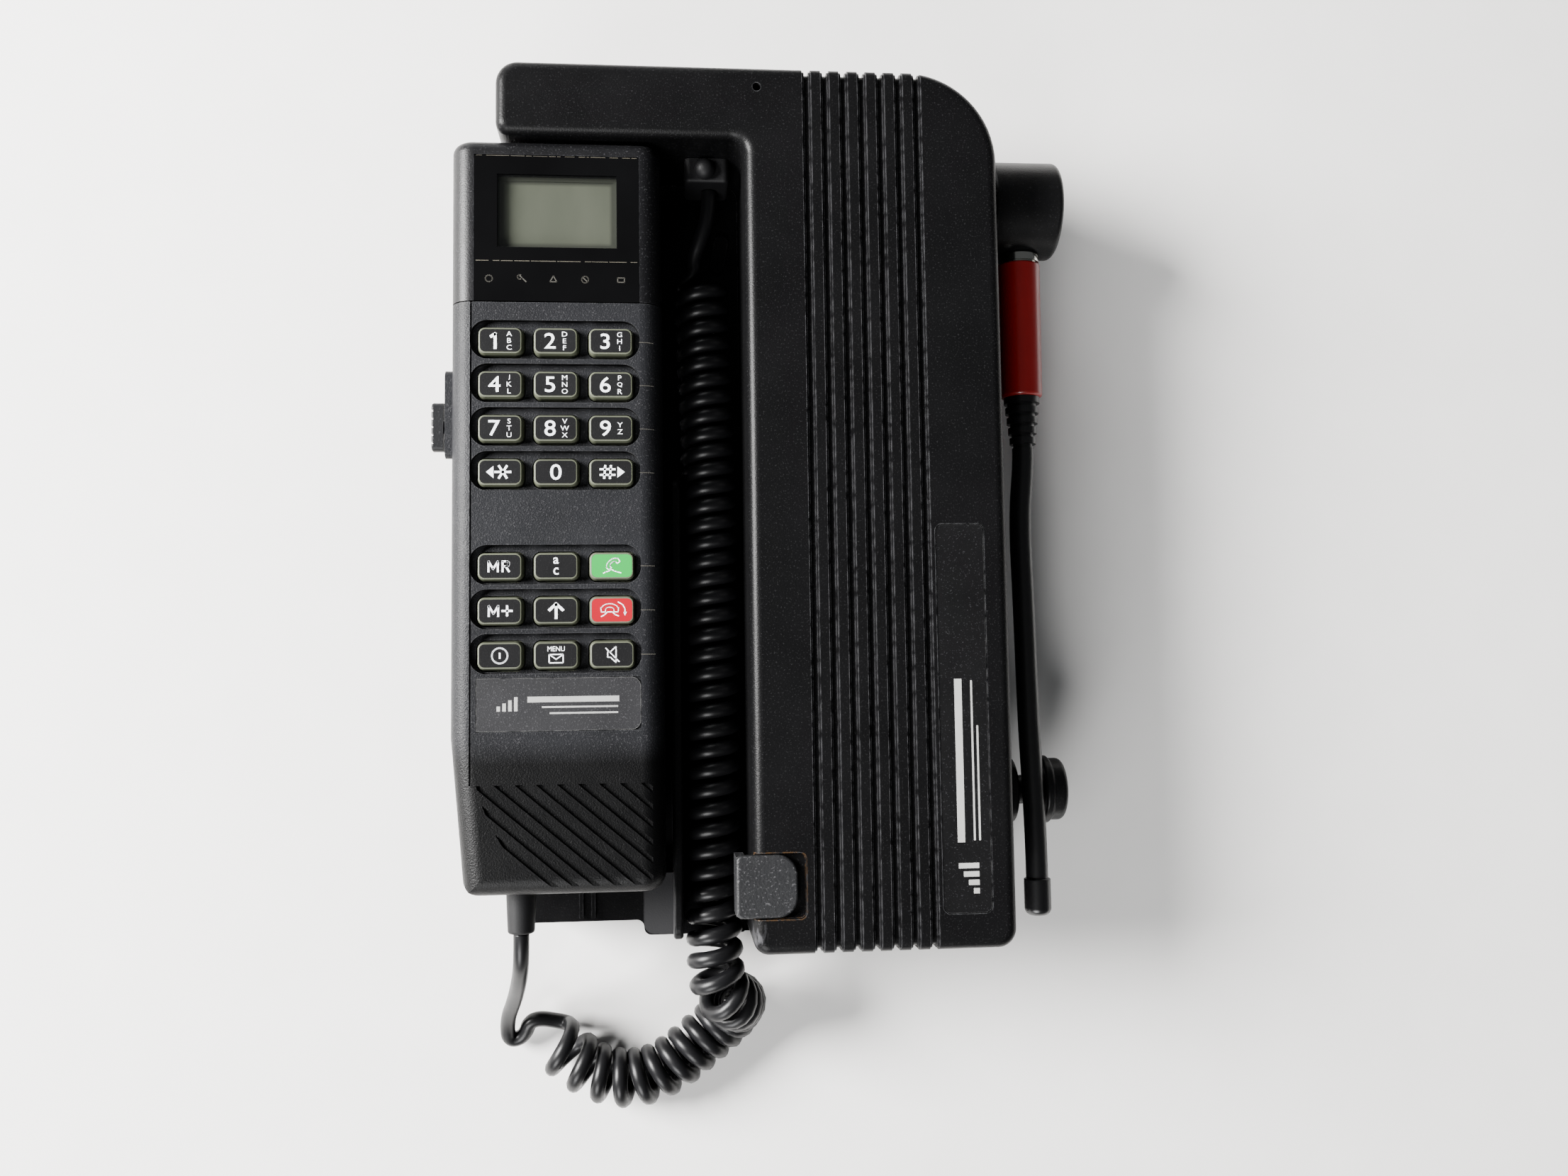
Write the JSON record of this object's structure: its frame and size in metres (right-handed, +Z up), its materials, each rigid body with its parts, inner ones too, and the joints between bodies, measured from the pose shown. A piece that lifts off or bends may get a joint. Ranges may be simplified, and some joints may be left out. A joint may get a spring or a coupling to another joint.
{
  "type": "transportable mobile telephone",
  "caption": "L-shaped transportable telephone with a corded keypad handset in a cradle, a curly cord in a trough, a swivelling side antenna and a slide-out battery.",
  "frame": {"origin": "on the back face that the case lies on, midway along the case and midway between its farthest pieces left and right", "axes": "+X across towards the antenna side, +Y along the case towards the top bar, +Z up out of the keypad face"},
  "size_m": [0.178, 0.2908, 0.0604],
  "materials": {
    "case_plastic": "satin, fine speckle",
    "handset_plastic": "fine spark-eroded texture",
    "key_plastic": "black printed tops on translucent greenish caps",
    "latch_plastic": "rough grey",
    "plate_grey": "fine matt plate with light print",
    "lens_glass": "dark tinted window",
    "lcd_panel": "grey-green reflective display",
    "soft_rubber": "matt",
    "cord_pvc": "satin black PVC jacket",
    "circuit_board": "solder mask",
    "steel": "zinc plated",
    "nickel": "bright nickel",
    "gold_contact": "gold flash",
    "speaker_plastic": "matt",
    "hub_plastic": "satin",
    "red_sleeve": "satin red",
    "whip_rubber": "satin"
  },
  "bodies": {
    "base": {"front_housing": "case_plastic", "label_plate": "plate_grey", "latch_spring": "steel", "rear_housing": "case_plastic", "rubber_pads": "soft_rubber", "housing_screws": "steel", "cradle": "case_plastic", "battery_contacts": "gold_contact", "main_board": "circuit_board", "rf_shield": "steel", "strap_stud": "hub_plastic", "antenna_axle": "steel", "cord_plug": "soft_rubber", "cord_lead_top": "cord_pvc", "cord_coil": "cord_pvc", "cord_lead_handset": "cord_pvc"},
    "handset": {"handset_front_shell": "handset_plastic", "handset_rear_shell": "handset_plastic", "display_cover": "handset_plastic", "display_lens": "lens_glass", "lcd_module": "lcd_panel", "keypad_mat": "soft_rubber", "handset_board": "circuit_board", "earpiece_speaker": "speaker_plastic", "microphone": "speaker_plastic", "handset_label": "plate_grey", "handset_screws": "steel", "cord_boot": "soft_rubber"},
    "antenna": {"antenna_hub": "hub_plastic", "antenna_ring": "nickel", "antenna_sleeve": "red_sleeve", "antenna_grip": "hub_plastic", "antenna_whip": "whip_rubber", "antenna_tip": "whip_rubber"},
    "battery": {"battery_case": "case_plastic", "battery_cover": "case_plastic", "battery_cells": "steel"},
    "latch": {"release_latch": "latch_plastic"},
    "slider": {"volume_slider": "handset_plastic"},
    "button_1": {"key_1": "key_plastic"},
    "button_2": {"key_2": "key_plastic"},
    "button_3": {"key_3": "key_plastic"},
    "button_4": {"key_4": "key_plastic"},
    "button_5": {"key_5": "key_plastic"},
    "button_6": {"key_6": "key_plastic"},
    "button_7": {"key_7": "key_plastic"},
    "button_8": {"key_8": "key_plastic"},
    "button_9": {"key_9": "key_plastic"},
    "button_star": {"key_star": "key_plastic"},
    "button_0": {"key_0": "key_plastic"},
    "button_hash": {"key_hash": "key_plastic"},
    "button_recall": {"key_recall": "key_plastic"},
    "button_clear": {"key_clear": "key_plastic"},
    "button_send": {"key_send": "key_plastic"},
    "button_store": {"key_store": "key_plastic"},
    "button_up": {"key_up": "key_plastic"},
    "button_end": {"key_end": "key_plastic"},
    "button_power": {"key_power": "key_plastic"},
    "button_menu": {"key_menu": "key_plastic"},
    "button_mute": {"key_mute": "key_plastic"}
  },
  "joints": [
    {"name": "handset_lift", "type": "slide", "parent": "base", "child": "handset", "axis": [0, 0, 1], "range_m": [0, 0.04]},
    {"name": "antenna_swing", "type": "hinge", "parent": "base", "child": "antenna", "pos_m": [0.0782, 0.0902, 0.032], "axis": [1, 0, 0], "range_deg": [-180, 0]},
    {"name": "battery_slide", "type": "slide", "parent": "base", "child": "battery", "axis": [0, -1, 0], "range_m": [0, 0.012]},
    {"name": "latch_slide", "type": "slide", "parent": "base", "child": "latch", "axis": [1, 0, 0], "range_m": [0, 0.0018], "stiffness_N_per_m": 600},
    {"name": "volume_slide", "type": "slide", "parent": "handset", "child": "slider", "axis": [0, 1, 0], "range_m": [0, 0.007]},
    {"name": "press_1", "type": "slide", "parent": "handset", "child": "button_1", "axis": [0, 0, -1], "range_m": [0, 0.001], "stiffness_N_per_m": 400, "springref_m": -0.0004},
    {"name": "press_2", "type": "slide", "parent": "handset", "child": "button_2", "axis": [0, 0, -1], "range_m": [0, 0.001], "stiffness_N_per_m": 400, "springref_m": -0.0004},
    {"name": "press_3", "type": "slide", "parent": "handset", "child": "button_3", "axis": [0, 0, -1], "range_m": [0, 0.001], "stiffness_N_per_m": 400, "springref_m": -0.0004},
    {"name": "press_4", "type": "slide", "parent": "handset", "child": "button_4", "axis": [0, 0, -1], "range_m": [0, 0.001], "stiffness_N_per_m": 400, "springref_m": -0.0004},
    {"name": "press_5", "type": "slide", "parent": "handset", "child": "button_5", "axis": [0, 0, -1], "range_m": [0, 0.001], "stiffness_N_per_m": 400, "springref_m": -0.0004},
    {"name": "press_6", "type": "slide", "parent": "handset", "child": "button_6", "axis": [0, 0, -1], "range_m": [0, 0.001], "stiffness_N_per_m": 400, "springref_m": -0.0004},
    {"name": "press_7", "type": "slide", "parent": "handset", "child": "button_7", "axis": [0, 0, -1], "range_m": [0, 0.001], "stiffness_N_per_m": 400, "springref_m": -0.0004},
    {"name": "press_8", "type": "slide", "parent": "handset", "child": "button_8", "axis": [0, 0, -1], "range_m": [0, 0.001], "stiffness_N_per_m": 400, "springref_m": -0.0004},
    {"name": "press_9", "type": "slide", "parent": "handset", "child": "button_9", "axis": [0, 0, -1], "range_m": [0, 0.001], "stiffness_N_per_m": 400, "springref_m": -0.0004},
    {"name": "press_star", "type": "slide", "parent": "handset", "child": "button_star", "axis": [0, 0, -1], "range_m": [0, 0.001], "stiffness_N_per_m": 400, "springref_m": -0.0004},
    {"name": "press_0", "type": "slide", "parent": "handset", "child": "button_0", "axis": [0, 0, -1], "range_m": [0, 0.001], "stiffness_N_per_m": 400, "springref_m": -0.0004},
    {"name": "press_hash", "type": "slide", "parent": "handset", "child": "button_hash", "axis": [0, 0, -1], "range_m": [0, 0.001], "stiffness_N_per_m": 400, "springref_m": -0.0004},
    {"name": "press_recall", "type": "slide", "parent": "handset", "child": "button_recall", "axis": [0, 0, -1], "range_m": [0, 0.001], "stiffness_N_per_m": 400, "springref_m": -0.0004},
    {"name": "press_clear", "type": "slide", "parent": "handset", "child": "button_clear", "axis": [0, 0, -1], "range_m": [0, 0.001], "stiffness_N_per_m": 400, "springref_m": -0.0004},
    {"name": "press_send", "type": "slide", "parent": "handset", "child": "button_send", "axis": [0, 0, -1], "range_m": [0, 0.001], "stiffness_N_per_m": 400, "springref_m": -0.0004},
    {"name": "press_store", "type": "slide", "parent": "handset", "child": "button_store", "axis": [0, 0, -1], "range_m": [0, 0.001], "stiffness_N_per_m": 400, "springref_m": -0.0004},
    {"name": "press_up", "type": "slide", "parent": "handset", "child": "button_up", "axis": [0, 0, -1], "range_m": [0, 0.001], "stiffness_N_per_m": 400, "springref_m": -0.0004},
    {"name": "press_end", "type": "slide", "parent": "handset", "child": "button_end", "axis": [0, 0, -1], "range_m": [0, 0.001], "stiffness_N_per_m": 400, "springref_m": -0.0004},
    {"name": "press_power", "type": "slide", "parent": "handset", "child": "button_power", "axis": [0, 0, -1], "range_m": [0, 0.001], "stiffness_N_per_m": 400, "springref_m": -0.0004},
    {"name": "press_menu", "type": "slide", "parent": "handset", "child": "button_menu", "axis": [0, 0, -1], "range_m": [0, 0.001], "stiffness_N_per_m": 400, "springref_m": -0.0004},
    {"name": "press_mute", "type": "slide", "parent": "handset", "child": "button_mute", "axis": [0, 0, -1], "range_m": [0, 0.001], "stiffness_N_per_m": 400, "springref_m": -0.0004}
  ]
}
